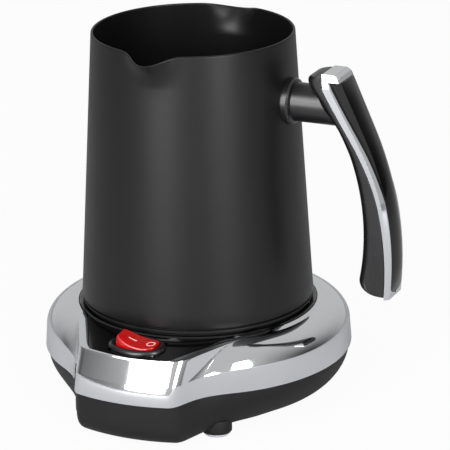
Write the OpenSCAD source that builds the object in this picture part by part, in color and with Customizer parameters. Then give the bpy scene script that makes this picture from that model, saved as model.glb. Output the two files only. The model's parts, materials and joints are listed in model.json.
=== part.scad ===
// Electric Turkish coffee maker: a coated steel pot on a corded heating base.
// Millimetres. The pot's handle points to +X, the switch tongue to -Y and the
// cord inlet to +Y. The origin is under the middle of the whole object's box.

/* [Pot] */
// Outer radius of the pot's bottom edge
pot_bottom_r = 45.3; // [42:0.1:48]
// Outer radius of the pot's rim
pot_rim_r = 39; // [36:0.1:41]
// Height of the pot's wall, from bottom edge to rim
pot_h = 105.4; // [90:0.1:120]
// Thickness of the coated steel
wall = 1; // [0.8:0.1:1.4]
// How far a pouring lip stands out of the rim
spout_out = 6.5; // [4:0.1:8]
// How far a pouring lip dips under the rim
spout_dip = 2.7; // [1:0.1:4]
// Half the angle that a pouring lip takes of the rim
spout_half = 24; // [18:1:30]
// Height of the wall that a pouring lip is drawn from
spout_h = 13; // [9:0.5:18]

/* [Base] */
// Height of the shell's underside above the table
foot_h = 2.4; // [2:0.1:4]
// Height of the black lower shell
shell_h = 17.3; // [15:0.1:19]
// Height of the chrome trim's upright band
band_h = 8.2; // [7:0.1:9]
// Height of the chrome trim's sloping shoulder
shoulder_h = 9.1; // [8:0.1:11]
// Radius of the base at the foot of the chrome band
base_r = 60.2; // [59:0.1:62]
// Radius of the crease between band and shoulder
crease_r = 59.6; // [58:0.1:60]
// Radius of the shoulder's inner edge
shoulder_r = 46.9; // [46.5:0.1:48]
// Reach of the switch tongue from the pot's axis
tongue_reach = 71.3; // [68:0.1:74]
// Fall of the tongue's top towards the front, in degrees
deck_fall = 4.4; // [3:0.1:6]
// Thickness of the moulded plastic
plastic = 2.2; // [1.8:0.1:3]

/* [Handle] */
// Reach of the handle from the pot's axis, without its crown
grip_reach = 83.4; // [80:0.1:84]
// Width of the handle at its top
grip_w = 16; // [15.4:0.1:18]
// Radius of the stem that carries the handle
stem_r = 7.45; // [7:0.05:7.6]
// Crown of the black spine over the chrome trim
spine_crown = 1.3; // [0.6:0.1:1.6]

/* [Switch] */
// Length of the oval bezel, across the tongue
bezel_l = 23; // [22:0.1:24]
// Width of the oval bezel, along the tongue
bezel_w = 15.4; // [15:0.1:16]
// Distance of the switch from the pot's axis
switch_a = 55; // [54.5:0.1:55.4]
// Tilt of the rocker to either side, in degrees
rocker_tilt = 12; // [8:1:12]

/* [Hidden] */
$fn = 72;

// Levels of the base, from the table up
shell_z = foot_h;
band_z = shell_z + shell_h;
crease_z = band_z + band_h;
top_z = crease_z + shoulder_h;
collar_z = top_z + 0.6;
pot_z = top_z + 3;
rim_z = pot_z + pot_h;
well_z = pot_z - 6;

// The whole object's box, which the origin is centred under
grip_far = grip_reach + spine_crown;
box_x = (grip_far - base_r) / 2;
box_y = (base_r - tongue_reach) / 2;

// Azimuths round the pot's axis, close together where the outlines turn.
// Zero is the tongue's direction, and they run once round.
half_turn = concat([for (a = [0:2.5:10]) a], [for (a = [12:1:24]) a],
    [for (a = [26:2:50]) a], [for (a = [55:5:180]) a]);
around = concat(half_turn,
    [for (i = [len(half_turn) - 2:-1:1]) 360 - half_turn[i]]);

// Clearances
slip = 0.1;
shadow = 0.3;
run = 0.05;

// --- Shape tools ---------------------------------------------------------

// Larger and smaller of two lengths, with a fillet of size k between them
function smooth_max(a, b, k) =
    max(a, b) + pow(max(k - abs(a - b), 0), 2) / (4 * k);
function smooth_min(a, b, k) = -smooth_max(-a, -b, k);
function smooth_step(t) =
    let (c = min(max(t, 0), 1)) c * c * (3 - 2 * c);

// Point at azimuth az, radius r and height z
function at(az, r, z) = [r * sin(az), -r * cos(az), z];

// Azimuth folded to 0..180
function folded(az) = az > 180 ? 360 - az : az;

// Distance from the axis to a tongue side that passes half-width b at
// distance a and flares towards the pot
function side_r(az, a, b, flare) =
    az > 80 ? 0 : (b + a * tan(flare)) / (sin(az) + cos(az) * tan(flare))
        - 0.03 * pow(max(az - 48, 0), 2);

// Outline of a ring with a tongue: radius at an azimuth
function tongued(az, ring, reach, a, b, flare, corner, fillet) =
    let (f = folded(az))
    smooth_max(ring,
        smooth_min(reach, side_r(f, a, b, flare), corner), fillet);

// Skin over loops of equal length. A ring of loops closes on itself, any
// other stack gets a flat cap on its first and last loop.
module loft(loops, ring = false) {
    n = len(loops[0]);
    m = len(loops);
    quads = [for (i = [0:(ring ? m - 1 : m - 2)], j = [0:n - 1])
        let (a = i * n, b = ((i + 1) % m) * n, k = (j + 1) % n)
        each [[a + j, b + k, a + k], [a + j, b + j, b + k]]];
    caps = ring ? [] : [[for (j = [0:n - 1]) j],
        [for (j = [n - 1:-1:0]) (m - 1) * n + j]];
    polyhedron([for (l = loops) each l], concat(quads, caps));
}

// Moves the pot's axis to its place in the object's frame
module place() {
    translate([-box_x, -box_y, 0]) children();
}

// Bar lying along +X, from x0 to x1
module rod_x(x0, x1, r) {
    translate([x0, 0, 0]) rotate([0, 90, 0]) cylinder(r = r, h = x1 - x0);
}

// Copies at azimuths, on a circle of radius r
module spread(azimuths, r) {
    for (az = azimuths) translate(at(az, r, 0)) rotate([0, 0, az]) children();
}

// Round wire along straight runs, with ball joints
module wire(points, r) {
    for (i = [0:len(points) - 2]) {
        d = points[i + 1] - points[i];
        translate(points[i])
            rotate([0, acos(d[2] / norm(d)), atan2(d[1], d[0])])
            cylinder(r = r, h = norm(d), $fn = 24);
    }
    for (i = [1:len(points) - 2]) translate(points[i])
        sphere(1.08 * r, $fn = 24);
}

// --- Base: outlines ------------------------------------------------------

// Height of the deck at distance a along the tongue
deck_near = 46;
function deck_level(a) =
    min(top_z, top_z - 0.6 - (a - deck_near) * tan(deck_fall));

// Edge of the deck, and the chrome's inner edge round it
deck_reach = tongue_reach - 7;
deck_flare = 27.7;
function trim_inner(az) = tongued(az, shoulder_r, deck_reach,
    deck_reach - 2.6, 17.2, deck_flare, 1, 1);

// Chrome ledge beside the deck, which dies away into the ring's shoulder
ledge_out = 1.4;
function ledge_drop(az) =
    0.15 + 0.65 * smooth_step((folded(az) - 50) / 20);

// Outline of the sloping shoulder, from its ledge (s = 0) to its crease (1)
function trim_slope(az, s) = tongued(az,
    shoulder_r + ledge_out + (crease_r - shoulder_r - ledge_out) * s,
    deck_reach + 0.6 + (tongue_reach - deck_reach - 2.4) * s,
    57.4, 23.4 + 1.3 * s, 27.4 - 3.4 * s, 3, 1 + 5 * s);
function trim_foot(az) = tongued(az, base_r, tongue_reach,
    62, 23.5, 24, 3, 6);

// Crease and foot of the band dip with the tongue
function crease_level(a) = crease_z - 0.09 * max(a - 48, 0);
function foot_level(a) = band_z - 0.04 * max(a - 48, 0);

// Loop that follows the deck's height, less a drop at each azimuth
function draped(radii, drops, inset = 0) =
    [for (i = [0:len(around) - 1])
        let (az = around[i], r = radii[i])
        at(az, r - inset, deck_level(r * cos(folded(az))) - drops[i])];

inner_radii = [for (az = around) trim_inner(az)];
foot_radii = [for (az = around) trim_foot(az)];
level_drops = [for (az = around) 0];

// Loop over the shoulder. Its turn q runs from 0 at the ledge to 90 at the
// crease: convex round the ring, straight down the tongue.
fullness = 1.9;
function slope_loop(q, depth = 0) = [for (az = around)
    let (s = pow(sin(q), 2 / fullness),
        fall = pow(cos(q), 2 / fullness),
        bow = smooth_step((folded(az) - 24) / 16),
        rise = (1 - s) * (1 - bow) + fall * bow,
        r = trim_slope(az, s), a = r * cos(folded(az)),
        low = crease_level(a), high = deck_level(a) - ledge_drop(az))
    at(az, r - depth * sin(q), low + (high - low) * rise - depth * cos(q))];

// Loop at the level of the band's foot, or a lift above it
function foot_loop(inset, lift = 0) = [for (i = [0:len(around) - 1])
    let (az = around[i], r = foot_radii[i])
    at(az, r - inset, foot_level(r * cos(folded(az))) + lift)];

// --- Base: pieces --------------------------------------------------------

// Chrome-plated ring and tongue surround
trim_wall = 1.2;
slope_turns = [0, 24, 44, 62, 76, 90];
module chrome_trim() {
    color("silver") place() loft([
        draped(inner_radii, level_drops),
        each [for (q = slope_turns) slope_loop(q)],
        foot_loop(0),
        foot_loop(trim_wall),
        each [for (i = [len(slope_turns) - 1:-1:0])
            slope_loop(slope_turns[i], trim_wall)],
        draped(inner_radii, [for (d = level_drops) d + trim_wall])
    ], ring = true);
}

// Bowl of the lower shell: radius of ring and tongue at depth u, 0 to 1
bowl_top_r = base_r - 0.8;
bowl_foot_r = 40;
function bowl_r(u) = bowl_foot_r
    + (bowl_top_r - bowl_foot_r) * sqrt(max(1 - u * u, 0));
function shell_r(az, u) = tongued(az, bowl_r(u),
    tongue_reach - 1 - u - 3.8 * pow(u, 8), 61,
    23.7 - 0.6 * u - 2.4 * pow(u, 8), 24 - 7 * u * u, 3, 6 + 8 * u);

// Loop of the shell at depth u, or inset and over a floor of some thickness
function shell_loop(u, inset = 0, floor_t = 0) = [for (az = around)
    let (r = shell_r(az, u), low = shell_z + floor_t,
        top = foot_level(r * cos(folded(az))))
    at(az, r - inset, low + (top - low) * (1 - u))];

// Screw posts hang from the deck and meet bosses in the shell
post_azimuths = [50, 130, 230, 310];
post_r = 41;
boss_top = shell_z + 4.6;

foot_azimuths = [32, 146, 214, 328];
function foot_place(az) = az < 90 || az > 270 ? 50.6 : 45;
stub_r = 5.8;
stub_low = foot_h / 2;
pad_r = 5.2;
pad_seat = stub_low + 0.9;

gland_z = shell_z + 10.9;
gland_hole_r = 5;
gland_flange_r = 5.7;
gland_face = base_r - 4.1;

module at_feet() {
    for (az = foot_azimuths) translate(at(az, foot_place(az), 0)) children();
}

module shell_tub() {
    outer = [for (u = [1, 0.94, 0.82, 0.62, 0.35, 0]) shell_loop(u)];
    inner = [for (u = [0, 0.45, 0.75, 0.92, 1])
        shell_loop(u, plastic + 0.6, plastic)];
    loft(concat(outer, [foot_loop(trim_wall + 0.2),
        foot_loop(trim_wall + 1, 3), foot_loop(trim_wall + 2.6, 3)], inner));
}

// Foot stubs, which end inside the shell's wall
module foot_stubs() {
    difference() {
        at_feet() translate([0, 0, stub_low])
            cylinder(r = stub_r, h = shell_z + 10 - stub_low);
        loft([for (u = [1, 0.9, 0.7, 0.4, 0.1])
            shell_loop(u, plastic / 2, plastic / 2)]);
    }
}

module lower_shell() {
    color([0.13, 0.13, 0.14]) place() difference() {
        union() {
            shell_tub();
            foot_stubs();
            spread(post_azimuths, post_r) translate([0, 0, shell_z + 1.3])
                cylinder(r = 5, h = boss_top - shell_z - 1.3);
            translate([0, gland_face - 8, gland_z]) rotate([-90, 0, 0])
                cylinder(r = 6.6, h = 8);
        }
        at_feet() translate([0, 0, stub_low - 1])
            cylinder(r = pad_r + run, h = pad_seat - stub_low + 1);
        spread(post_azimuths, post_r) {
            translate([0, 0, shell_z - 1]) cylinder(r = 3.4, h = 3.6);
            cylinder(r = 1.8, h = 20);
        }
        translate([0, gland_face - 12, gland_z]) rotate([-90, 0, 0])
            cylinder(r = gland_hole_r, h = 14);
        // Seat of the bush's flange
        translate([0, gland_face, gland_z]) rotate([-90, 0, 0])
            cylinder(r = gland_flange_r + run, h = 8);
    }
}

// Grey rubber pads, pressed into the shell's foot stubs
module foot_pads() {
    color([0.6, 0.6, 0.62]) place() at_feet() rotate_extrude()
        polygon([[0, 0], [pad_r - 0.6, 0], [pad_r, 0.6],
            [pad_r, pad_seat], [0, pad_seat]]);
}

// Four self-tapping screws that close the base from below
screw_head_h = 2;
module base_screws() {
    color("lightgray") place() spread(post_azimuths, post_r)
        translate([0, 0, shell_z + 0.6]) rotate_extrude()
            polygon([[0, 0.7], [1, 0.7], [1.2, 0], [2.6, 0], [3, 0.5],
                [3, screw_head_h], [1.5, screw_head_h], [1.5, 12],
                [0, 13.5]]);
}

// Rubber bush in the rear wall, which the cord would pass through
gland_bore_r = 3.5;
module cord_gland() {
    color([0.1, 0.1, 0.1]) place()
        translate([0, gland_face, gland_z]) rotate([-90, 0, 0])
        rotate_extrude() polygon([[gland_bore_r, -10], [5.9, -10], [5.9, -8],
            [gland_hole_r, -8], [gland_hole_r, 0],
            [gland_flange_r, 0], [gland_flange_r, 1.2],
            [5.3, 1.9], [gland_bore_r, 1.9]]);
}

// Gloss black deck: collar, well for the pot, and the tongue's top
collar_r = shoulder_r - shadow;
collar_wall = 2;
barrel_r = 14;
module deck_outline() {
    circle(r = collar_r);
    intersection() {
        circle(r = deck_reach - shadow);
        far = 90;
        half = 17.2 - shadow - (far - deck_reach + 2.6) * tan(deck_flare);
        polygon([[-half, -far], [half, -far],
            [half + far * tan(deck_flare), 0],
            [-half - far * tan(deck_flare), 0]]);
    }
}

module on_deck() {
    translate([0, -switch_a, deck_level(switch_a)]) rotate([deck_fall, 0, 0])
        children();
}

module deck() {
    floor_z = well_z - plastic;
    color([0.1, 0.1, 0.11]) place() difference() {
        union() {
            intersection() {
                translate([0, 0, floor_z]) linear_extrude(20) deck_outline();
                translate([0, -deck_near, deck_level(deck_near)])
                    rotate([deck_fall, 0, 0]) translate([-60, -40, -plastic])
                    cube([120, 60, plastic]);
            }
            rotate_extrude() polygon([[0, floor_z], [collar_r, floor_z],
                [collar_r, collar_z - 0.5], [collar_r - 0.5, collar_z],
                [collar_r - collar_wall + 0.5, collar_z],
                [collar_r - collar_wall, collar_z - 0.5],
                [collar_r - collar_wall, well_z], [0, well_z]]);
            spread(post_azimuths, post_r) translate([0, 0, boss_top])
                cylinder(r = 3.8, h = floor_z - boss_top + 0.5);
            // Ribs that stiffen the tongue
            for (s = [-1, 1]) translate([s * 13 - 0.8, -61, floor_z - 4])
                cube([1.6, 18, 6.5]);
        }
        // Anything that a rib or the slab leaves inside the well
        translate([0, 0, well_z])
            cylinder(r = collar_r - collar_wall, h = 20);
        spread(post_azimuths, post_r) translate([0, 0, boss_top - 1])
            cylinder(r = 1.5, h = 12);
        // Opening for the connector's barrel and its two screws
        translate([0, 0, floor_z - 1]) cylinder(r = barrel_r + slip, h = 6);
        spread([90, 270], 17.5) translate([0, 0, floor_z - 1])
            cylinder(r = 1.3, h = 2.6);
        // Opening for the switch
        on_deck() translate([-housing_l / 2 - slip, -housing_w / 2 - slip, -9])
            cube([housing_l + 2 * slip, housing_w + 2 * slip, 20]);
    }
}

// --- Base: connector -----------------------------------------------------

barrel_h = 10.4;
pin_r = 2.5;
ring_in = 8.9;
ring_out = 9.9;
module base_connector() {
    floor_z = well_z - plastic;
    color([0.16, 0.16, 0.17]) place() difference() {
        rotate_extrude() polygon([[0, floor_z - 8], [12.5, floor_z - 8],
            [12.5, floor_z - 2], [20.5, floor_z - 2], [20.5, floor_z],
            [barrel_r, floor_z], [barrel_r, well_z + barrel_h - 1],
            [barrel_r - 1, well_z + barrel_h], [0, well_z + barrel_h]]);
        // Well of the centre pin
        translate([0, 0, well_z - 6]) cylinder(r = 3.6, h = 30);
        // Slot of the ring contact
        translate([0, 0, well_z - 2]) difference() {
            cylinder(r = ring_out + 0.9, h = 30);
            translate([0, 0, -1]) cylinder(r = ring_in - 0.9, h = 32);
        }
        spread([90, 270], 17.5) translate([0, 0, floor_z - 3])
            cylinder(r = 1.7, h = 4);
        // Flats that the earth springs lie on
        for (az = [0, 180]) rotate([0, 0, az])
            translate([-2.2, -barrel_r - 0.1, well_z + slip])
            cube([4.4, 1.1, 20]);
    }
}

module connector_screws() {
    color("lightgray") place() spread([90, 270], 17.5)
        translate([0, 0, well_z - plastic - 4]) rotate_extrude()
        polygon([[0, 0], [2.6, 0], [2.6, 2], [1.3, 2], [1.3, 5.2], [0, 5.6]]);
}

// Sleeve that grips the pot's centre pin
module live_contact() {
    color("goldenrod") place() translate([0, 0, well_z - 6 + slip])
        rotate_extrude() polygon([[0, 0], [3.5, 0], [3.5, 14.5], [3, 15],
            [2.8, 14.6], [2.8, 2], [0, 2]]);
}

// Split ring that the pot's ring contact drops over
module neutral_contact() {
    color("goldenrod") place() translate([0, 0, well_z - 2 + slip])
        for (az = [10, 190]) rotate([0, 0, az]) rotate_extrude(angle = 160)
            polygon([[ring_in - 0.8, 0], [ring_out + 0.8, 0],
                [ring_out + 0.8, 0.5], [ring_in - 0.3, 0.5],
                [ring_in - 0.3, 9.5], [ring_in - 0.8, 9.5]]);
}

// Two leaf springs on the barrel's flats
module earth_contacts() {
    color("silver") place() for (az = [0, 180]) rotate([0, 0, az])
        translate([-2, 0, 0]) rotate([90, 0, 90]) linear_extrude(4)
        polygon([[-barrel_r + 0.95, well_z + 0.2], [-barrel_r + 0.95, well_z + 9],
            [-barrel_r + 0.6, well_z + 9], [-barrel_r + 0.15, well_z + 5],
            [-barrel_r + 0.6, well_z + 0.2]]);
}

// --- Base: switch --------------------------------------------------------

housing_l = 19.4;
housing_w = 12.6;
housing_h = 16;
rocker_r = 8.2;
rocker_l = 2 * rocker_r;
rocker_w = 9.8;
pivot_z = 0.4;
pivot_r = 1.2;
bezel_h = 1.4;

// Superellipse outline, fuller than an ellipse for powers over 2
function oval(l, w, power, z, n = 48) = [for (i = [0:n - 1])
    let (a = 360 * i / n, c = cos(a), s = sin(a))
    [sign(c) * l / 2 * pow(abs(c), 2 / power),
        sign(s) * w / 2 * pow(abs(s), 2 / power), z]];
function flat(points) = [for (p = points) [p[0], p[1]]];

rocker_power = 2.8;
opening_l = rocker_l + 0.8;
opening_w = rocker_w + 0.8;

module bezel() {
    loft([
        oval(bezel_l, bezel_w, 2, run),
        oval(bezel_l, bezel_w, 2, 0.35 * bezel_h),
        oval(bezel_l - 1, bezel_w - 0.8, 2.1, 0.8 * bezel_h),
        oval(bezel_l - 3.2, bezel_w - 2.4, 2.2, bezel_h)
    ]);
}

module switch_housing() {
    color([0.12, 0.12, 0.13]) place() on_deck() {
        difference() {
            union() {
                bezel();
                translate([-housing_l / 2, -housing_w / 2, -housing_h])
                    cube([housing_l, housing_w, housing_h + 0.6]);
            }
            // Cavity that the rocker swings in, fuller under the bezel
            translate([0, 0, -housing_h + 1.2]) linear_extrude(housing_h + 5)
                polygon(flat(oval(opening_l, opening_w, rocker_power, 0)));
            translate([0, 0, -housing_h + 1.2]) linear_extrude(housing_h - 1.2)
                polygon(flat(oval(opening_l, opening_w, 6, 0)));
            // Bearings of the rocker's pins
            translate([0, 0, pivot_z]) rotate([90, 0, 0])
                cylinder(r = pivot_r + run, h = housing_w - 1, center = true);
            // Slots of the terminals
            for (x = [-6, 0, 6]) translate([x - 0.4, -1.6, -housing_h - 1])
                cube([0.8, 3.2, 3]);
        }
        // Shelves that the lamp lies on
        for (s = [-1, 1]) translate([-6.6, s * 4.6 - 0.9, lamp_z - 1.65])
            cube([2.4, 1.8, 0.4]);
    }
}

// Blades for the supply, the load and the lamp
lever_z = pivot_z - 10.4;
lamp_z = pivot_z - 6.9;
module switch_terminals() {
    color("gold") place() on_deck() {
        for (x = [-6, 0, 6]) translate([x - 0.4, -1.6, -housing_h - 7])
            cube([0.8, 3.2, 8.4]);
        // Cradle of the lever
        difference() {
            translate([-1.2, -1.6, -housing_h + 1.3])
                cube([2.4, 3.2, lever_z + housing_h - 1.2]);
            translate([0, 0, lever_z]) rotate([90, 0, 0])
                cylinder(r = 0.6 + run, h = 4, center = true);
            translate([-3, -2, lever_z]) cube([6, 4, 3]);
        }
        // Fixed contact under the lever's right end
        translate([6, 0, -housing_h + 1.3])
            cylinder(r = 1.4, h = lever_z + housing_h - 1.85);
    }
}

module neon_lamp() {
    color("orange") place() on_deck()
        translate([-5.4, 0, lamp_z]) rotate([90, 0, 0])
        cylinder(r = 1.2, h = 9, center = true);
}

// Tilting lever that closes the circuit, stored as it lies when off
module contact_lever() {
    arm = 7;
    rise = arm * tan(8);
    color("gold") place() on_deck() translate([0, 0, lever_z])
        rotate([0, -rocker_tilt / 2, 0]) {
            rotate([90, 0, 0]) {
                cylinder(r = 0.6, h = 3.2, center = true);
                translate([0, 0, -1.4]) linear_extrude(2.8)
                    polygon([[-arm, rise], [0, 0.1], [arm, rise],
                        [arm, rise + 0.5], [0, 0.8], [-arm, rise + 0.5]]);
            }
            translate([6, 0, rise * 6 / arm - 0.6]) cylinder(r = 1, h = 0.8);
        }
}

// The rocker and what rides in it, tilted to the side that is pressed
module rocked() {
    on_deck() translate([0, 0, pivot_z]) rotate([0, rocker_tilt, 0])
        children();
}

rocker_edge = 25;
module rocker() {
    hollow = 1.4;
    edge_x = rocker_r * cos(rocker_edge);
    edge_z = rocker_r * sin(rocker_edge);
    dish_sag = 1.6;
    dish_r = (edge_x * edge_x + dish_sag * dish_sag) / (2 * dish_sag);
    color([0.8, 0.05, 0.05]) place() rocked() difference() {
        union() {
            intersection() {
                translate([0, 0, -4]) linear_extrude(12) polygon(flat(
                    oval(rocker_l + 0.2, rocker_w, rocker_power, 0)));
                rotate([90, 0, 0])
                    cylinder(r = rocker_r, h = rocker_w, center = true);
            }
            translate([-2.2, -2.2, -6]) cube([4.4, 4.4, 3]);
            rotate([90, 0, 0])
                cylinder(r = pivot_r, h = rocker_w + 1.6, center = true);
        }
        // Dished top between the two raised ends
        translate([0, 0, edge_z - dish_sag + dish_r]) rotate([90, 0, 0])
            cylinder(r = dish_r, h = 20, center = true, $fn = 144);
        // Sleeve of the plunger
        translate([0, 0, -8]) cylinder(r = 1.3, h = 6.4);
    }
}

module rocker_plunger() {
    color("goldenrod") place() rocked() {
        translate([0, 0, -8.4]) sphere(r = 1);
        translate([0, 0, -8.4]) cylinder(r = 0.9, h = 4.4);
    }
}

module plunger_spring() {
    coil_r = 0.75;
    turns = 3;
    color("silver") place() rocked() for (i = [0:turns - 1])
        translate([0, 0, -3.6 + i * 0.8]) rotate_extrude()
        translate([coil_r, 0]) circle(r = 0.2, $fn = 24);
}

// Leads from the switch to the connector, inside the base
module switch_leads() {
    sink = 1.1;
    terminal_z = deck_level(switch_a) - housing_h - 5;
    connector_z = well_z - plastic - 9.5;
    for (lead = [[0, "brown"], [1, "royalblue"]]) {
        side = lead[0] == 0 ? 1 : -1;
        color(lead[1]) place() wire([
            [side * 6 + side * (sink + 0.5), -switch_a + 1, terminal_z],
            [side * 9, -switch_a + 8, terminal_z - 4],
            [side * 9, -24, terminal_z - 4],
            [side * 5, -8, connector_z - 2],
            [side * 5, -4, connector_z]], sink);
    }
}

// --- Pot -----------------------------------------------------------------

// Outer radius of the plain tapering wall
function pot_r(z) = pot_bottom_r
    - (pot_bottom_r - pot_rim_r) * (z - pot_z) / pot_h;

// Two pouring lips, at 0 and 180 degrees
function lip(az) =
    let (f = folded(az), off = min(f, 180 - f))
    off < spout_half ? pow(cos(90 * off / spout_half), 4) : 0;

pot_turn = concat([for (a = [0:2:24]) a], [for (a = [30:6:150]) a],
    [for (a = [156:2:180]) a]);
pot_around = concat(pot_turn,
    [for (i = [len(pot_turn) - 2:-1:1]) 360 - pot_turn[i]]);
lip_foot = rim_z - spout_h;

// Loop of the wall at height z, on the outside or a depth under it
function wall_loop(z, depth) = [for (az = pot_around)
    let (t = max((z - lip_foot) / spout_h, 0), g = lip(az))
    at(az, pot_r(z) - depth + spout_out * g * pow(t, 1.6),
        z - spout_dip * g * pow(t, 1.3))];
function round_loop(r, z) = [for (az = pot_around) at(az, r, z)];

floor_z = pot_z + 16;
module pot_body() {
    lip_steps = [0, 0.25, 0.5, 0.7, 0.86];
    hem = 0.35;
    color([0.14, 0.14, 0.15]) place() loft(concat(
        [round_loop(pot_r(floor_z) - wall - 1, floor_z - wall),
            round_loop(pot_r(floor_z) - wall, floor_z - wall - 1),
            round_loop(pot_r(pot_z) - wall, pot_z),
            round_loop(pot_r(pot_z) - hem, pot_z),
            round_loop(pot_r(pot_z), pot_z + hem)],
        [for (t = lip_steps) wall_loop(lip_foot + t * spout_h, 0)],
        [wall_loop(rim_z - hem, 0), wall_loop(rim_z, hem),
            wall_loop(rim_z, wall - hem), wall_loop(rim_z - hem, wall)],
        [for (i = [len(lip_steps) - 1:-1:0])
            wall_loop(lip_foot + lip_steps[i] * spout_h, wall)],
        [round_loop(pot_r(floor_z + 5) - wall, floor_z + 5),
            round_loop(pot_r(floor_z + 1.5) - wall - 1.5, floor_z + 1.5),
            round_loop(pot_r(floor_z) - wall - 5, floor_z)]
    ));
}

// Aluminium plate under the floor, with a groove for the element
plate_r = 39.5;
plate_h = 3;
plate_z = floor_z - wall - plate_h;
element_r = 27;
element_tube = 3.3;
element_gap = 40;
element_z = plate_z - 1;
post_ring = 35.5;
module heat_plate() {
    color("lightgray") place() difference() {
        translate([0, 0, plate_z]) cylinder(r = plate_r, h = plate_h);
        translate([0, 0, element_z]) rotate_extrude()
            translate([element_r, 0]) circle(r = element_tube + run);
        spread([60, 180, 300], post_ring) translate([0, 0, plate_z - 1])
            cylinder(r = 1.55, h = 3.2);
    }
}

// Tubular element: an open ring with two cold pins that turn down
module heating_element() {
    color([0.35, 0.33, 0.3]) place() translate([0, 0, element_z]) {
        rotate([0, 0, 90 + element_gap / 2])
            rotate_extrude(angle = 360 - element_gap)
            translate([element_r, 0]) circle(r = element_tube, $fn = 36);
        for (s = [-1, 1]) rotate([0, 0, s * (element_gap / 2 + 5)])
            translate([0, element_r, -6.5]) cylinder(r = 1.4, h = 6.5);
    }
}

module element_leads() {
    pin_a = element_gap / 2 + 5;
    pin_x = element_r * sin(pin_a);
    pin_y = element_r * cos(pin_a);
    pin_z = element_z - 5.5;
    color("white") place() for (s = [-1, 1]) wire([
        [s * (pin_x - 1.3), pin_y - 2.4, pin_z],
        [s * (pin_x - 2.3), 18.6, connector_top + 1.3],
        [s * 9, 12, connector_top + 1.3],
        [s * 9, 6, connector_top + 1.3]], 1);
}

// Plastic bottom cover, which stands in the base's well
skirt_floor = pot_z - 3.8;
skirt_hole = 20.5;
skirt_nose = collar_r - collar_wall - 1.1;
module pot_skirt() {
    color([0.16, 0.16, 0.17]) place() difference() {
        union() {
            rotate_extrude() polygon([[skirt_hole, skirt_floor],
                [skirt_nose - 2.6, skirt_floor], [skirt_nose - 2.2, well_z],
                [skirt_nose - 0.3, well_z], [skirt_nose, well_z + 0.4],
                [skirt_nose, pot_z - 1.8],
                [pot_bottom_r - 0.6, pot_z - 1.8],
                [pot_bottom_r - 0.3, pot_z - 1.5],
                [pot_bottom_r - 0.3, pot_z - 0.6],
                [pot_bottom_r - wall - 0.3, pot_z - 0.6],
                [pot_bottom_r - wall - 0.5, pot_z + 6],
                [pot_bottom_r - wall - 2.3, pot_z + 6],
                [pot_bottom_r - wall - 2.3, skirt_floor + 2],
                [skirt_hole, skirt_floor + 2]]);
            spread([60, 180, 300], post_ring)
                translate([0, 0, skirt_floor + 1])
                cylinder(r = 3.4, h = plate_z - skirt_floor - 1);
        }
        spread([60, 180, 300], post_ring) {
            translate([0, 0, skirt_floor - 1]) cylinder(r = 2.9, h = 3.4);
            cylinder(r = 1.75, h = 100);
        }
    }
}

module skirt_screws() {
    head = skirt_floor + 0.4;
    color("lightgray") place() spread([60, 180, 300], post_ring)
        rotate_extrude() polygon([[0, head], [2.6, head], [2.6, head + 2],
            [1.5, head + 2], [1.5, plate_z + 2], [0, plate_z + 2.1]]);
}

// Pot half of the connector: a cup over the base's barrel
cup_r = barrel_r + 0.6;
connector_top = skirt_floor + 11;
module pot_connector() {
    color([0.2, 0.2, 0.21]) place() difference() {
        rotate_extrude() polygon([[0, connector_top - 2.5],
            [cup_r, connector_top - 2.5], [cup_r, skirt_floor + 0.5],
            [cup_r + 0.5, skirt_floor], [skirt_hole - 0.1, skirt_floor],
            [skirt_hole - 0.1, skirt_floor + 2.1], [26, skirt_floor + 2.1],
            [26, skirt_floor + 4], [cup_r + 2.4, skirt_floor + 4],
            [cup_r + 2.4, connector_top], [0, connector_top]]);
        // Seats of the pin and the ring
        translate([0, 0, connector_top - 3]) {
            cylinder(r = pin_r - 0.5 + run, h = 4);
            difference() {
                translate([0, 0, -1]) cylinder(r = ring_out + run, h = 2.5);
                translate([0, 0, -2]) cylinder(r = ring_in - run, h = 5);
            }
        }
    }
}

module pot_pin() {
    color("goldenrod") place() rotate_extrude() polygon([
        [0, well_z + 3], [1.2, well_z + 3], [pin_r, well_z + 4.5],
        [pin_r, connector_top - 2.6], [pin_r - 0.5, connector_top - 2.6],
        [pin_r - 0.5, connector_top + 0.6], [0, connector_top + 0.6]]);
}

module pot_ring() {
    color("goldenrod") place() rotate_extrude() polygon([
        [ring_in, well_z + 3], [ring_out, well_z + 3],
        [ring_out, connector_top - 1.6], [ring_in, connector_top - 1.6]]);
}

// Steel liner of the cup, which meets the earth springs
module pot_earth_ring() {
    color("silver") place() rotate_extrude() polygon([
        [cup_r - 0.3, skirt_floor + 1.5], [cup_r - 0.02, skirt_floor + 1.5],
        [cup_r - 0.02, connector_top - 2.6], [cup_r - 0.3, connector_top - 2.6]]);
}

// Bimetal cut-out that touches the plate
module thermostat() {
    body = plate_z - connector_top;
    color("tan") place() translate([0, -17, connector_top]) {
        translate([0, 0, body - 4.2]) cylinder(r = 6, h = 3.9);
        translate([0, 0, body - 0.3]) cylinder(r = 5, h = 0.3);
        for (s = [-1, 1]) translate([s * 8 - 2.4, -1.6, body - 3])
            cube([4.8, 3.2, 0.6]);
    }
}

// Fuse in its clip, on the plate's other side
module thermal_fuse() {
    color("silver") place() translate([0, 17, plate_z - 2]) {
        rotate([0, 90, 0]) cylinder(r = 1.9, h = 9, center = true);
        translate([-2, -3.4, 1.6]) cube([4, 6.8, 0.4]);
    }
}

// --- Handle --------------------------------------------------------------

// The handle's outer edge: an arc, then its tangent up to the cap
outer_r = 118.8;
outer_mid = pot_z + 22;
outer_turn = 49.5;
function grip_out(z) =
    let (t = min(z - outer_mid, outer_turn),
        x = grip_reach - outer_r + sqrt(outer_r * outer_r - t * t),
        slope = outer_turn / sqrt(outer_r * outer_r - outer_turn * outer_turn))
    x - max(z - outer_mid - outer_turn, 0) * slope;

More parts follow.
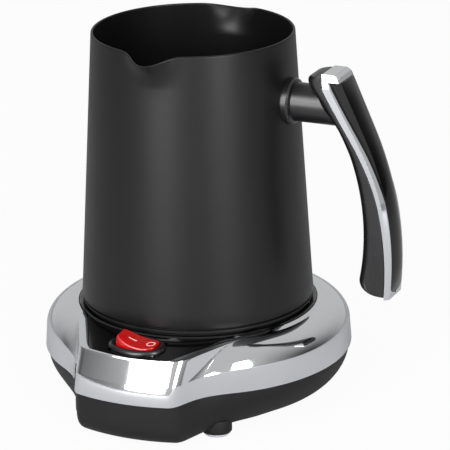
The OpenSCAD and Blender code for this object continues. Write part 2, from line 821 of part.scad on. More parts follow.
// The handle's inner edge, which leans further in at the stem
inner_reach = grip_reach - 12;
inner_r = 91.5;
inner_mid = pot_z + 33;
inner_turn = 41;
lean = 0.75;
function grip_in(z) =
    let (t = min(z - inner_mid, inner_turn))
    inner_reach - inner_r + sqrt(inner_r * inner_r - t * t)
        - max(z - inner_mid - inner_turn, 0) * lean;

grip_low = pot_z + 9.2;
grip_top = pot_z + 95;
cap_low = pot_z + 89.8;

// Depth of the chrome at the sides, which narrows downwards
function trim_depth(z) = 2.1 + 1.9 * (z - grip_low) / (grip_top - grip_low);
function grip_split(z) = grip_out(z) - trim_depth(z);

// Half width of the handle, a little less at the bottom
function grip_half(z) =
    grip_w / 2 - 0.8 * (1 - (z - grip_low) / (grip_top - grip_low));

// Rounding of an end: how far the section has drawn in at height z
function rounding(z, end, r) =
    let (t = min(abs(z - end) / r, 1)) r * (1 - sqrt(1 - (1 - t) * (1 - t)));

// Section of the core at one height: round on the palm side, flat outside
core_round = 4;
function core_loop(z, x0, x1, half) =
    let (k = min(core_round, (x1 - x0) * 0.8, half - 1))
    concat([for (a = [90:15:180]) [x0 + k + k * cos(a), half - k + k * sin(a), z]],
        [for (a = [180:15:270]) [x0 + k + k * cos(a), -half + k + k * sin(a), z]],
        [[x1, -half, z], [x1, half, z]]);

core_low = grip_low + 0.6;
core_top = pot_z + 94;
core_heights = concat([for (t = [0, 0.03, 0.12, 0.3, 0.6, 1]) core_low + 6 * t],
    [for (z = [pot_z + 22:7:pot_z + 78]) z],
    [for (t = [1, 0.75, 0.5, 0.3, 0.12, 0.03, 0]) core_top - 7 * t]);

module core_solid() {
    loops = [for (z = core_heights)
        let (x0 = grip_in(z) + rounding(z, core_low, 6) * 1.2
            + rounding(z, core_top, 6) * 0.8)
        core_loop(z, x0, grip_split(z), grip_half(z))];
    loft([for (i = [len(loops) - 1:-1:0]) loops[i]]);
}

// Pot side of the chrome cap that closes the handle's top
cap_x = pot_rim_r + 16.6;
function cap_in(z) = cap_x + 0.16 * (grip_top - z);

module side_extrude(w) {
    rotate([90, 0, 0]) translate([0, 0, -w / 2]) linear_extrude(w) children();
}

stem_z = pot_z + 81.3;
stem_seat = 1;
// Everything on the pot's side of the handle's inner face, at the stem
module inside_face(depth) {
    z0 = stem_z - 20;
    z1 = stem_z + 20;
    face = grip_in(stem_z) + depth;
    side_extrude(60) polygon([[0, z0], [face + 20 * lean, z0],
        [face - 20 * lean, z1], [0, z1]]);
}

module handle_core() {
    color([0.12, 0.115, 0.125]) place() difference() {
        core_solid();
        // Seat of the cap
        side_extrude(30) polygon([
            [cap_in(cap_low) - slip, cap_low - slip],
            [cap_x + 30, cap_low - slip], [cap_x + 30, grip_top + 2],
            [cap_in(grip_top + 2) - slip, grip_top + 2]]);
        // Seat of the stem, and the screw through it
        intersection() {
            translate([0, 0, stem_z]) rod_x(30, 90, stem_r + slip);
            inside_face(stem_seat);
        }
        translate([0, 0, stem_z]) {
            rod_x(40, 90, 2.2);
            rod_x(grip_split(stem_z) - 3.3, 90, 3.7);
        }
    }
}

// Outer surface of the pot near the stem, as a solid of revolution
module pot_cone(grow = 0) {
    rotate_extrude() polygon([[0, pot_z], [pot_bottom_r + grow, pot_z],
        [pot_rim_r + grow, rim_z], [0, rim_z]]);
}

stud_r = 4.5;
stem_bore_end = 50.5;
module handle_stem() {
    color([0.15, 0.15, 0.16]) place() difference() {
        intersection() {
            translate([0, 0, stem_z]) rod_x(38, 64, stem_r);
            inside_face(stem_seat - slip);
        }
        pot_cone(run);
        translate([0, 0, stem_z]) {
            rod_x(30, stem_bore_end, stud_r + slip);
            rod_x(30, 70, 2.2);
        }
    }
}

// Flange that the stem stands in, shaped to the wall
module stem_collar() {
    color([0.17, 0.17, 0.18]) place() difference() {
        translate([0, 0, stem_z]) rotate([0, 90, 0]) rotate_extrude()
            polygon([[stem_r + run, 36], [stem_r + 1.5, 36],
                [stem_r + 1.5, 41.6], [stem_r + 1.1, 42.4],
                [stem_r + run, 43]]);
        pot_cone(run);
    }
}

// Threaded stud, welded to the wall
module handle_stud() {
    color("silver") place() difference() {
        translate([0, 0, stem_z]) rod_x(38, stem_bore_end - 0.3, stud_r);
        pot_cone(0.02);
        translate([0, 0, stem_z]) rod_x(43, 60, 1.7);
    }
}

module handle_screw() {
    color("lightgray") place() translate([0, 0, stem_z]) {
        rod_x(44, grip_split(stem_z) - 3.3, 1.68);
        rod_x(grip_split(stem_z) - 3.3, grip_split(stem_z) - 1.75, 3.4);
    }
}

spine_half = 5.4;
spine_low = grip_low + 2.6;
spine_top = grip_top - 3.4;
spine_depth = 1.6;
function spine_width(z) =
    let (t = min(max(z - spine_low, 0) / spine_half, 1))
    max(spine_half * sqrt(1 - (1 - t) * (1 - t)), 1.2);

// Section of the trim: bevelled outer corners and a pocket for the spine
trim_bevel = 1.2;
function trim_loop(z, x0, x1, half, pocket_half, pocket) = [
    [x0, half, z], [x0, -half, z], [x1 - trim_bevel, -half, z],
    [x1, -half + trim_bevel, z], [x1, -pocket_half, z],
    [x1 - pocket, -pocket_half, z], [x1 - pocket, pocket_half, z],
    [x1, pocket_half, z], [x1, half - trim_bevel, z],
    [x1 - trim_bevel, half, z]];

// Half width of the trim, which the cap draws in to its top
function trim_half(z) =
    grip_half(z) - 1.3 * max((z - cap_low) / (grip_top - cap_low), 0);

// The pocket begins, and the section steps out to the cap, over this height
step = 0.1;
trim_heights = concat([for (t = [0, 0.1, 0.35, 0.65]) grip_low + 4 * t - 0.3],
    [for (t = [0, 0.08, 0.3, 0.6, 1]) spine_low + step + spine_half * t],
    [for (z = [pot_z + 21:7:pot_z + 85]) z],
    [cap_low - step, cap_low, spine_top - step, spine_top,
        grip_top - 1, grip_top]);

module handle_trim() {
    shallow = 0.06;
    color("silver") place() loft([for (i = [len(trim_heights) - 1:-1:0])
        let (z = trim_heights[i],
            x0 = z < cap_low ? grip_split(z) + slip : cap_in(z),
            pocketed = z > spine_low && z < spine_top)
        trim_loop(z, x0, grip_out(z) - 1.1 * max(z - grip_top + 1, 0),
            trim_half(z), spine_width(z) + slip,
            pocketed ? spine_depth : shallow)]);
}

// The spine's section: flat underneath, crowned on top
function spine_section(z, x0, x1, half, crown) = [
    [x0, half, z], [x0, -half, z], [x1, -half, z],
    for (t = [-0.66, -0.33, 0, 0.33, 0.66])
        [x1 + crown * (1 - t * t), half * t, z],
    [x1, half, z]];
spine_heights = concat(
    [for (t = [0, 0.08, 0.3, 0.6, 1]) spine_low + 2 * step + spine_half * t],
    [for (z = [outer_mid:7:outer_mid + 63]) z], [spine_top - 2 * step]);

module handle_spine() {
    color([0.07, 0.075, 0.08]) place()
        loft([for (i = [len(spine_heights) - 1:-1:0])
            let (z = spine_heights[i],
                swell = min((z - spine_low) / 8 + 0.2,
                    (spine_top - z) / 8 + 0.4, 1))
            spine_section(z, grip_out(z) - spine_depth + slip,
                grip_out(z) + 0.1, spine_width(z),
                (spine_crown - 0.1) * swell)]);
}

lower_shell();
foot_pads();
base_screws();
cord_gland();
chrome_trim();
deck();
base_connector();
connector_screws();
live_contact();
neutral_contact();
earth_contacts();
switch_housing();
switch_terminals();
neon_lamp();
contact_lever();
rocker();
rocker_plunger();
plunger_spring();
switch_leads();
pot_body();
heat_plate();
heating_element();
element_leads();
thermostat();
thermal_fuse();
pot_skirt();
skirt_screws();
pot_connector();
pot_pin();
pot_ring();
pot_earth_ring();
handle_stud();
stem_collar();
handle_stem();
handle_core();
handle_screw();
handle_trim();
handle_spine();
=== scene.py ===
"""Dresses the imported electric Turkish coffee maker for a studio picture.

The pot's axis is upright, its handle points to +X, the switch tongue of the
base to -Y and the cord inlet to +Y. Shapes are worked out in millimetres from
the pot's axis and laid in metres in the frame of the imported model.
"""

import json
import math

import bpy
import numpy as np
from mathutils import Matrix, Vector


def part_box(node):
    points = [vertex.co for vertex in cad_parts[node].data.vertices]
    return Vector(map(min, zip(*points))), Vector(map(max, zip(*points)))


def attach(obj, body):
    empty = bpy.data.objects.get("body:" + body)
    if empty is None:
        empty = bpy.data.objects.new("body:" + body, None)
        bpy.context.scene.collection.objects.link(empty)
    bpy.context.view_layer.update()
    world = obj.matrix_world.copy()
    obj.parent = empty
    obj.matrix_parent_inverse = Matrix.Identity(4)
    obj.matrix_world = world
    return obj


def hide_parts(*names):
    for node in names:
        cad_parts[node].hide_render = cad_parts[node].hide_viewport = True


bl_info = {
    "name": "Electric Turkish coffee maker",
    "version": (1, 0, 0),
    "blender": (4, 5, 0),
    "location": "3D View > Sidebar > Coffee maker",
    "description": "Models and paints a lift-off coffee pot on its heating base",
    "category": "Add Mesh",
}

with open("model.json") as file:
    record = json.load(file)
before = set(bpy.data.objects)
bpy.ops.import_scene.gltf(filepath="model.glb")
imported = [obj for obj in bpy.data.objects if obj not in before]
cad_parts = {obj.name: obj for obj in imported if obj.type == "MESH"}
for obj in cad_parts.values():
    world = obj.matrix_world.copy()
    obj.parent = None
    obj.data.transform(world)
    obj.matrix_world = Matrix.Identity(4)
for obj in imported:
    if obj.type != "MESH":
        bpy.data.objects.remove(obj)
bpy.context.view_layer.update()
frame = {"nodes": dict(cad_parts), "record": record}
NODES = frame["nodes"]

MM = 0.001
PIN_LOW, PIN_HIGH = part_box("pot_pin")
POT_AXIS = np.array([(PIN_LOW.x + PIN_HIGH.x) / 2, (PIN_LOW.y + PIN_HIGH.y) / 2, 0.0]) / MM

# The photograph's camera, fitted to the pot and the base: millimetres from the
# pot's axis, and its azimuth from the tongue
CAMERA_PLACE = (449.015, -963.193, 437.83)
CAMERA_TARGET = (10.030, 4.550, 66.152)
CAMERA_AZ = math.radians(24.4)
CAMERA_ROLL = math.radians(-0.927)
FOCAL_PIXELS, PICTURE_PIXELS, SENSOR = 2889.3, 450, 36.0

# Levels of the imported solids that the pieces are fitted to, in millimetres
POT_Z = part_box("pot_body")[0].z / MM
TOP_Z = POT_Z - 3.0
CREASE_Z = POT_Z - 12.1
BAND_Z = POT_Z - 20.3
SHELL_Z = POT_Z - 37.6
RIM_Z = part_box("pot_body")[1].z / MM
GRIP_LOW = POT_Z + 9.2
GRIP_TOP = POT_Z + 95.0
CAP_LOW = POT_Z + 89.8


# --- What a user would change ------------------------------------------------


def length(name, description, default_mm):
    return bpy.props.FloatProperty(name=name, description=description,
                                   default=default_mm * MM, min=0.0,
                                   unit="LENGTH", subtype="DISTANCE", precision=4)


def turn(name, description, default_degrees):
    return bpy.props.FloatProperty(name=name, description=description,
                                   default=math.radians(default_degrees),
                                   unit="ROTATION", subtype="ANGLE")


def colour(name, description, code):
    return bpy.props.StringProperty(name=name, description=description, default=code)


class PotSizes(bpy.types.PropertyGroup):
    """Sizes of the lift-off pot"""
    bottom_r: length("Bottom radius", "Outer radius of the pot's bottom edge", 45.3)
    rim_r: length("Rim radius", "Outer radius of the pot's rim", 39.0)
    wall: length("Wall", "Thickness of the coated steel", 1.0)
    lip_out: length("Lip reach", "How far a pouring lip stands out of the rim", 6.5)
    lip_dip: length("Lip dip", "How far a pouring lip dips under the rim", 2.7)
    lip_height: length("Lip height", "Height of the wall that a lip is drawn from", 13.0)
    lip_half: turn("Lip half angle", "Half the angle that a lip takes of the rim", 24.0)


class BaseSizes(bpy.types.PropertyGroup):
    """Sizes of the heating base"""
    band_r: length("Band radius", "Radius at the foot of the chrome band", 60.2)
    crease_r: length("Crease radius", "Radius between band and shoulder", 59.6)
    shoulder_r: length("Shoulder radius", "Radius of the chrome's inner edge", 46.9)
    tongue_reach: length("Tongue reach", "Reach of the switch tongue", 71.3)
    shell_foot_r: length("Shell foot radius", "Radius of the flat under the shell", 40.0)
    deck_fall: turn("Deck fall", "Slope of the tongue's top", 4.4)


class HandleSizes(bpy.types.PropertyGroup):
    """Sizes of the pot's handle"""
    reach: length("Reach", "Reach of the chrome edge from the pot's axis", 83.4)
    width: length("Width", "Width of the handle at its top", 16.0)
    crown: length("Spine crown", "Rise of the gloss spine over the chrome", 1.3)


class SwitchSizes(bpy.types.PropertyGroup):
    """Sizes of the rocker switch"""
    bezel_l: length("Bezel length", "Length of the oval bezel", 23.0)
    bezel_w: length("Bezel width", "Width of the oval bezel", 15.4)
    from_pot: length("Distance", "Distance of the switch from the pot's axis", 55.0)
    tilt: turn("Tilt", "Tilt of the rocker to either side", 12.0)


class Colours(bpy.types.PropertyGroup):
    """sRGB colours of the finishes, as hex codes"""
    coat: colour("Coat", "Matt coat of the pot", "#0C0C0D")
    matt: colour("Matt plastic", "Moulded shell and cover", "#0E0E0F")
    gloss: colour("Gloss plastic", "Polished deck and spine", "#050506")
    grip: colour("Grip", "Moulded handle", "#0E0D0F")
    chrome: colour("Chrome", "Bright plated trim", "#E4E6E8")
    rocker: colour("Rocker", "Clear red rocker", "#B00C0C")
    mark: colour("Marks", "Print on the rocker", "#F2D9CC")
    rubber: colour("Rubber", "Foot pads", "#B4B4B8")
    floor: colour("Floor", "Plain pale floor", "#C4C4C6")


# --- Shapes ------------------------------------------------------------------


def smooth_max(a, b, k):
    """Larger of two lengths, with a fillet of size k between them."""
    return np.maximum(a, b) + np.clip(k - np.abs(a - b), 0, None) ** 2 / (4 * k)


def smooth_min(a, b, k):
    return -smooth_max(-a, -b, k)


def smooth_step(t):
    t = np.clip(t, 0, 1)
    return t * t * (3 - 2 * t)


def folded(az):
    return np.where(az > 180, 360 - az, az)


def both_halves(half):
    """Azimuths of a half turn, mirrored into a whole turn."""
    return np.array(list(half) + [360 - a for a in half[-2:0:-1]])


def tongued(az, ring, reach, a, b, flare, corner, fillet):
    """Radius of a ring with a tongue, whose sides pass half width b at distance a."""
    f = folded(az)
    slope = math.tan(math.radians(flare))
    side = (b + a * slope) / (np.sin(np.radians(f)) + np.cos(np.radians(f)) * slope)
    side = np.where(f > 80, 0, side - 0.03 * np.maximum(f - 48, 0) ** 2)
    return smooth_max(ring, smooth_min(reach, side, corner), fillet)


def around_axis(az, r, z):
    """Points round the pot's axis, from azimuths, radii and heights."""
    a = np.radians(az)
    r, z = np.broadcast_to(r, a.shape), np.broadcast_to(z, a.shape)
    return np.stack([r * np.sin(a), -r * np.cos(a), z], axis=1)


def placed(points):
    """Millimetres from the pot's axis to metres in the model's frame."""
    return (np.asarray(points, float) + POT_AXIS) * MM


def cleared():
    if bpy.context.object and bpy.context.object.mode != "OBJECT":
        bpy.ops.object.mode_set(mode="OBJECT")
    bpy.ops.object.select_all(action="DESELECT")


def pick(piece):
    cleared()
    piece.select_set(True)
    bpy.context.view_layer.objects.active = piece


def skin(name, loops, caps=(True, True), closed=False, to_place=placed):
    """A ring of vertices, extruded through a stack of loops of equal length.

    The circle and its extrusions only lay out the faces: each vertex then goes
    to its own point of its loop."""
    if closed:
        loops = list(loops) + [loops[0]]
        caps = (False, False)
    count = len(loops[0])
    cleared()
    bpy.ops.mesh.primitive_circle_add(vertices=count, radius=0.05)
    piece = bpy.context.object
    piece.name = piece.data.name = name
    bpy.ops.object.mode_set(mode="EDIT")
    bpy.ops.mesh.select_all(action="SELECT")
    for _ in loops[1:]:
        bpy.ops.mesh.extrude_region_move(TRANSFORM_OT_translate={"value": (0, 0, 0.001)})
    bpy.ops.object.mode_set(mode="OBJECT")
    mesh = piece.data
    edges = np.empty(len(mesh.edges) * 2, int)
    mesh.edges.foreach_get("vertices", edges)
    edges = np.sort(edges.reshape(-1, 2), axis=1)
    row = edges // count
    place = np.arange(len(mesh.vertices))
    for i in range(len(loops) - 1):
        rises = edges[(row[:, 0] == i) & (row[:, 1] == i + 1)]
        place[rises[:, 1]] = place[rises[:, 0]]
    points = np.array([loops[v // count][place[v]] for v in range(len(place))])
    mesh.vertices.foreach_set("co", to_place(points).ravel())
    mesh.update()
    bpy.ops.object.mode_set(mode="EDIT")
    if closed:
        bpy.ops.mesh.select_all(action="SELECT")
        bpy.ops.mesh.remove_doubles(threshold=1e-7)
    for cap, first in zip(caps, (0, len(place) - count)):
        if cap:
            bpy.ops.mesh.select_all(action="DESELECT")
            bpy.ops.object.mode_set(mode="OBJECT")
            for v in range(first, first + count):
                mesh.vertices[v].select = True
            bpy.ops.object.mode_set(mode="EDIT")
            bpy.ops.mesh.edge_face_add()
    bpy.ops.mesh.select_all(action="SELECT")
    bpy.ops.mesh.normals_make_consistent(inside=False)
    bpy.ops.object.mode_set(mode="OBJECT")
    return piece


def bevelled(piece, width_mm, segments=3, angle=25):
    """Rounds the edges that turn more than an angle."""
    pick(piece)
    rounder = piece.modifiers.new("edge rounding", "BEVEL")
    rounder.width = width_mm * MM
    rounder.segments = segments
    rounder.limit_method = "ANGLE"
    rounder.angle_limit = math.radians(angle)
    bpy.ops.object.modifier_apply(modifier=rounder.name)
    return piece


def smoothed(piece, angle=35):
    pick(piece)
    bpy.ops.object.shade_smooth_by_angle(angle=math.radians(angle))
    return piece


def joined(pieces, name):
    cleared()
    for piece in pieces:
        piece.select_set(True)
    bpy.context.view_layer.objects.active = pieces[0]
    bpy.ops.object.join()
    pieces[0].name = pieces[0].data.name = name
    return pieces[0]


def cut(piece, cutter):
    """Takes the cutter's shape out of the piece."""
    pick(piece)
    saw = piece.modifiers.new("cut", "BOOLEAN")
    saw.operation = "DIFFERENCE"
    saw.solver = "EXACT"
    saw.object = cutter
    bpy.ops.object.modifier_apply(modifier=saw.name)
    bpy.data.objects.remove(cutter)
    return piece


def rounded_post(name, x, y, z0, z1, r, vertices=48):
    """An upright cylinder between two heights, in mm from the pot's axis."""
    cleared()
    centre = placed([[x, y, (z0 + z1) / 2]])[0]
    bpy.ops.mesh.primitive_cylinder_add(vertices=vertices, radius=r * MM,
                                        depth=(z1 - z0) * MM, location=centre)
    bpy.ops.object.transform_apply(location=True, rotation=True, scale=True)
    bpy.context.object.name = name
    return bpy.context.object


def mounted(piece, body, slot, replaced=(), finish=None):
    """Hands a finished piece to its body, with its slot's finish or another one."""
    pick(piece)
    bpy.ops.object.transform_apply(location=True, rotation=True, scale=True)
    piece.data.materials.clear()
    piece.data.materials.append(finishes()[finish or slot])
    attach(piece, body)
    if replaced:
        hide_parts(*replaced)
    return piece


def dress(name, material):
    """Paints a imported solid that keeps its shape."""
    solid = NODES[name]
    solid.data.materials.clear()
    solid.data.materials.append(material)


# --- Materials ---------------------------------------------------------------


def linear(code):
    """sRGB hex code to linear red, green, blue and alpha."""
    parts = [int(code[i:i + 2], 16) / 255 for i in (1, 3, 5)]
    return [c / 12.92 if c <= 0.04045 else ((c + 0.055) / 1.055) ** 2.4 for c in parts] + [1.0]


def add(tree, kind, values=None, links=None, **settings):
    """Adds a node with its settings, input values and links."""
    node = tree.nodes.new(kind)
    for key, value in settings.items():
        setattr(node, key, value)
    for key, value in (values or {}).items():
        node.inputs[key].default_value = value
    for key, output in (links or {}).items():
        tree.links.new(output, node.inputs[key])
    return node


def blank(name):
    material = bpy.data.materials.new(name)
    material.use_nodes = True
    material.node_tree.nodes.clear()
    return material, material.node_tree


def moulded(name, code, roughness, grain_mm, relief_mm, gloss_change=0.05,
            tint_change=0.12, patch_mm=14.0, **shader):
    """A surface with a fine grain as relief, and slow changes in gloss and tone.

    The grain is the real texture's size. Patches are the slow changes that
    handling and moulding leave."""
    material, tree = blank(name)
    place = add(tree, "ShaderNodeTexCoord").outputs["Object"]
    grain = add(tree, "ShaderNodeTexNoise", {"Scale": 1 / (grain_mm * MM), "Detail": 2.0},
                {"Vector": place})
    patch = add(tree, "ShaderNodeTexNoise", {"Scale": 1 / (patch_mm * MM), "Detail": 3.0},
                {"Vector": place})
    base = linear(code)
    dark = [c * (1 - tint_change) for c in base[:3]] + [1.0]
    pale = [min(c * (1 + tint_change), 1.0) for c in base[:3]] + [1.0]
    tone = add(tree, "ShaderNodeMix", {6: dark, 7: pale}, {0: patch.outputs["Fac"]},
               data_type="RGBA")
    gloss = add(tree, "ShaderNodeMapRange",
                {"From Min": 0.25, "From Max": 0.75, "To Min": max(roughness - gloss_change, 0.02),
                 "To Max": min(roughness + gloss_change, 1.0)}, {"Value": patch.outputs["Fac"]})
    relief = add(tree, "ShaderNodeBump", {"Strength": 1.0, "Distance": relief_mm * MM},
                 {"Height": grain.outputs["Fac"]})
    surface = add(tree, "ShaderNodeBsdfPrincipled", shader,
                  {"Base Color": tone.outputs[2], "Roughness": gloss.outputs["Result"],
                   "Normal": relief.outputs["Normal"]})
    add(tree, "ShaderNodeOutputMaterial", {}, {"Surface": surface.outputs["BSDF"]})
    return material


MATERIALS = {}


def finishes():
    """Every finish of the coffee maker, made once."""
    if MATERIALS:
        return MATERIALS
    c = bpy.context.scene.coffee_colours
    # After the colour: roughness, grain and relief in mm, change in gloss and in
    # tint, and the size of the patches in mm
    made = {
        # Sprayed and baked non-stick coat on spun steel: satin, with a fine
        # orange peel about 0.5 mm across and tiny specks of filler
        "coated_steel": moulded("sprayed non-stick coat", c.coat, 0.40, 0.5, 0.004, 0.03, 0.10,
                                22.0, IOR=1.4),
        # ABS with a spark-eroded mould texture about 0.35 mm across
        "black_abs": moulded("spark-textured ABS", c.matt, 0.52, 0.35, 0.012, 0.05, 0.12, 16.0,
                             IOR=1.4),
        # Polished ABS: nearly a mirror, with slow moulding waves
        "gloss_abs": moulded("polished ABS", c.gloss, 0.10, 6.0, 0.004, 0.03, 0.10, 12.0,
                             IOR=1.53),
        # Compression-moulded phenolic: satin from its polished mould
        "phenolic": moulded("moulded phenolic", c.grip, 0.30, 0.6, 0.003, 0.05, 0.15, 10.0,
                            IOR=1.6),
        # Bright chrome on ABS: a mirror with slow waves of the plastic under it
        "chrome_plate": moulded("bright chrome plate", c.chrome, 0.07, 9.0, 0.006, 0.02, 0.03,
                                20.0, Metallic=1.0),
        "grey_rubber": moulded("grey rubber", c.rubber, 0.7, 0.4, 0.01, 0.06, 0.10, 5.0),
        "black_rubber": moulded("black rubber", "#1A1A1A", 0.65, 0.4, 0.01, 0.06, 0.10, 5.0),
        "zinc_steel": moulded("zinc-plated steel", "#C6C8CC", 0.32, 0.3, 0.004, 0.08, 0.08, 2.0,
                              Metallic=1.0),
        "spring_steel": moulded("rolled spring steel", "#C2C2C4", 0.25, 0.3, 0.003, 0.06, 0.08,
                                3.0, Metallic=1.0),
        "brass": moulded("stamped brass", "#D9B25E", 0.28, 0.3, 0.003, 0.07, 0.12, 2.5,
                         Metallic=1.0),
        "aluminium": moulded("pressed aluminium", "#D0D1D3", 0.38, 0.4, 0.005, 0.06, 0.06, 6.0,
                             Metallic=1.0),
        "sheath": moulded("heat-tinted element sheath", "#6B5A48", 0.45, 0.4, 0.006, 0.10, 0.25,
                          4.0, Metallic=1.0),
        "nylon": moulded("glass-filled nylon", "#222224", 0.55, 0.3, 0.01, 0.06, 0.12, 4.0),
        "steatite": moulded("fired steatite", "#CDBB98", 0.6, 0.25, 0.008, 0.08, 0.08, 3.0),
        "wire_sleeve": moulded("silicone wire sleeve", "#D8D6CC", 0.45, 0.3, 0.003, 0.05, 0.06,
                               4.0),
        "neon_glass": moulded("neon lamp glass", "#FFB080", 0.06, 0.5, 0.001, 0.02, 0.05, 3.0,
                              **{"Transmission Weight": 0.6, "IOR": 1.5}),
        # Clear red plastic, which glows where light reaches through its ends
        "red_acrylic": moulded("clear red polycarbonate", c.rocker, 0.12, 3.0, 0.002, 0.03, 0.10,
                               4.0, IOR=1.58,
                               **{"Subsurface Weight": 0.2, "Subsurface Scale": 1.0,
                                  "Subsurface Radius": (0.004, 0.0004, 0.0002)}),
        "mark": moulded("printed mark", c.mark, 0.45, 0.2, 0.002, 0.05, 0.04, 2.0),
    }
    MATERIALS.update(made)
    return MATERIALS


# --- Base --------------------------------------------------------------------

# Places on the base, in millimetres and degrees from the tongue
DECK_KNEE, DECK_DROP = 46.0, 0.6
DIP_START, CREASE_DIP, FOOT_DIP = 48, 0.09, 0.04
PLATED_WALL = 1.2
SHELL_WALL, SHELL_FLOOR = 2.8, 2.2
LIP_UP = 3
POST_AZIMUTHS, POST_R, WELL_R = (50, 130, 230, 310), 41, 3.4
FEET = ((32, 50.6), (-32, 50.6), (146, 45.0), (-146, 45.0))
STUB_R, STUB_LOW = 5.8, 1.2
INLET_R, INLET_Z = 5.0, SHELL_Z + 10.9

# Azimuths round the base, close together where the tongue's corners turn
BASE_TURN = both_halves(list(np.arange(0, 9, 1.0)) + list(np.arange(9, 26, 0.5))
                        + list(np.arange(26, 60, 1.0)) + list(np.arange(60, 181, 2.0)))


def deck_level(a):
    """Height of the deck at distance a along the tongue."""
    fall = math.tan(bpy.context.scene.coffee_base.deck_fall)
    return np.minimum(TOP_Z, TOP_Z - DECK_DROP - (a - DECK_KNEE) * fall)


def on_deck(points):
    """Points measured from the switch's centre on the deck, in mm."""
    distance = bpy.context.scene.coffee_switch.from_pot / MM
    fall = bpy.context.scene.coffee_base.deck_fall
    x, y, z = np.asarray(points, float).T
    level = float(deck_level(distance))
    return np.stack([x, -distance + y * math.cos(fall) - z * math.sin(fall),
                     level + y * math.sin(fall) + z * math.cos(fall)], axis=1)


def placed_on_deck(points):
    return placed(on_deck(points))


def crease_level(a):
    """Height of the crease, which dips along the tongue."""
    return CREASE_Z - CREASE_DIP * np.maximum(a - DIP_START, 0)


def foot_level(a):
    """Height of the chrome band's foot, which dips along the tongue."""
    return BAND_Z - FOOT_DIP * np.maximum(a - DIP_START, 0)


def along(r):
    """Distance along the tongue of a row of radii."""
    return r * np.cos(np.radians(folded(BASE_TURN)))


def trim_inner():
    s = bpy.context.scene.coffee_base
    reach = s.tongue_reach / MM - 7
    return tongued(BASE_TURN, s.shoulder_r / MM, reach, a=reach - 2.6, b=17.2,
                   flare=27.7, corner=1, fillet=1)


def trim_slope(t):
    """Outline of the sloping shoulder, from its ledge (0) to its crease (1)."""
    s = bpy.context.scene.coffee_base
    ledge, crease, reach = s.shoulder_r / MM + 1.4, s.crease_r / MM, s.tongue_reach / MM
    return tongued(BASE_TURN, ledge + (crease - ledge) * t, reach - 6.4 + 4.6 * t,
                   a=57.4, b=23.4 + 1.3 * t, flare=27.4 - 3.4 * t, corner=3, fillet=1 + 5 * t)


def trim_foot():
    s = bpy.context.scene.coffee_base
    return tongued(BASE_TURN, s.band_r / MM, s.tongue_reach / MM, a=62, b=23.5,
                   flare=24, corner=3, fillet=6)


def slope_row(q, depth):
    """Row of the shoulder at a turn q, from its ledge (0) to its crease (90).

    It is convex round the ring and falls straight along the tongue."""
    q = math.radians(q)
    out, fall = math.sin(q) ** (2 / 1.9), max(math.cos(q), 0) ** (2 / 1.9)
    f = folded(BASE_TURN)
    bow = smooth_step((f - 24) / 16)
    rise = (1 - out) * (1 - bow) + fall * bow
    r = trim_slope(out)
    low = crease_level(along(r))
    high = deck_level(along(r)) - 0.15 - 0.65 * smooth_step((f - 50) / 20)
    return around_axis(BASE_TURN, r - depth * math.sin(q),
                       low + (high - low) * rise - depth * math.cos(q))


def foot_row(inset, lift=0.0):
    r = trim_foot()
    return around_axis(BASE_TURN, r - inset, foot_level(along(r)) + lift)


class COFFEE_OT_chrome_surround(bpy.types.Operator):
    """Chrome-plated ring with its shoulder, band and tongue surround"""
    bl_idname = "coffee.chrome_surround"
    bl_label = "Chrome surround"

    def execute(self, context):
        turns = [0, 6, 12, 18, 24, 31, 38, 44, 51, 57, 63, 69, 75, 80, 85, 87.8, 90]
        inner = trim_inner()
        edge = around_axis(BASE_TURN, inner, deck_level(along(inner)))
        under = around_axis(BASE_TURN, inner, deck_level(along(inner)) - PLATED_WALL)
        # A row close under the crease keeps it crisp
        crease, foot = slope_row(90, 0), foot_row(0)
        loops = [edge, *(slope_row(q, 0) for q in turns), crease * 0.97 + foot * 0.03,
                 foot, foot_row(PLATED_WALL),
                 *(slope_row(q, PLATED_WALL) for q in turns[::-3]), under]
        piece = skin("chrome_surround", loops, closed=True)
        bevelled(piece, 0.3, 3, 20)
        smoothed(piece, 30)
        mounted(piece, "base", "chrome_plate", ["chrome_trim"])
        return {"FINISHED"}


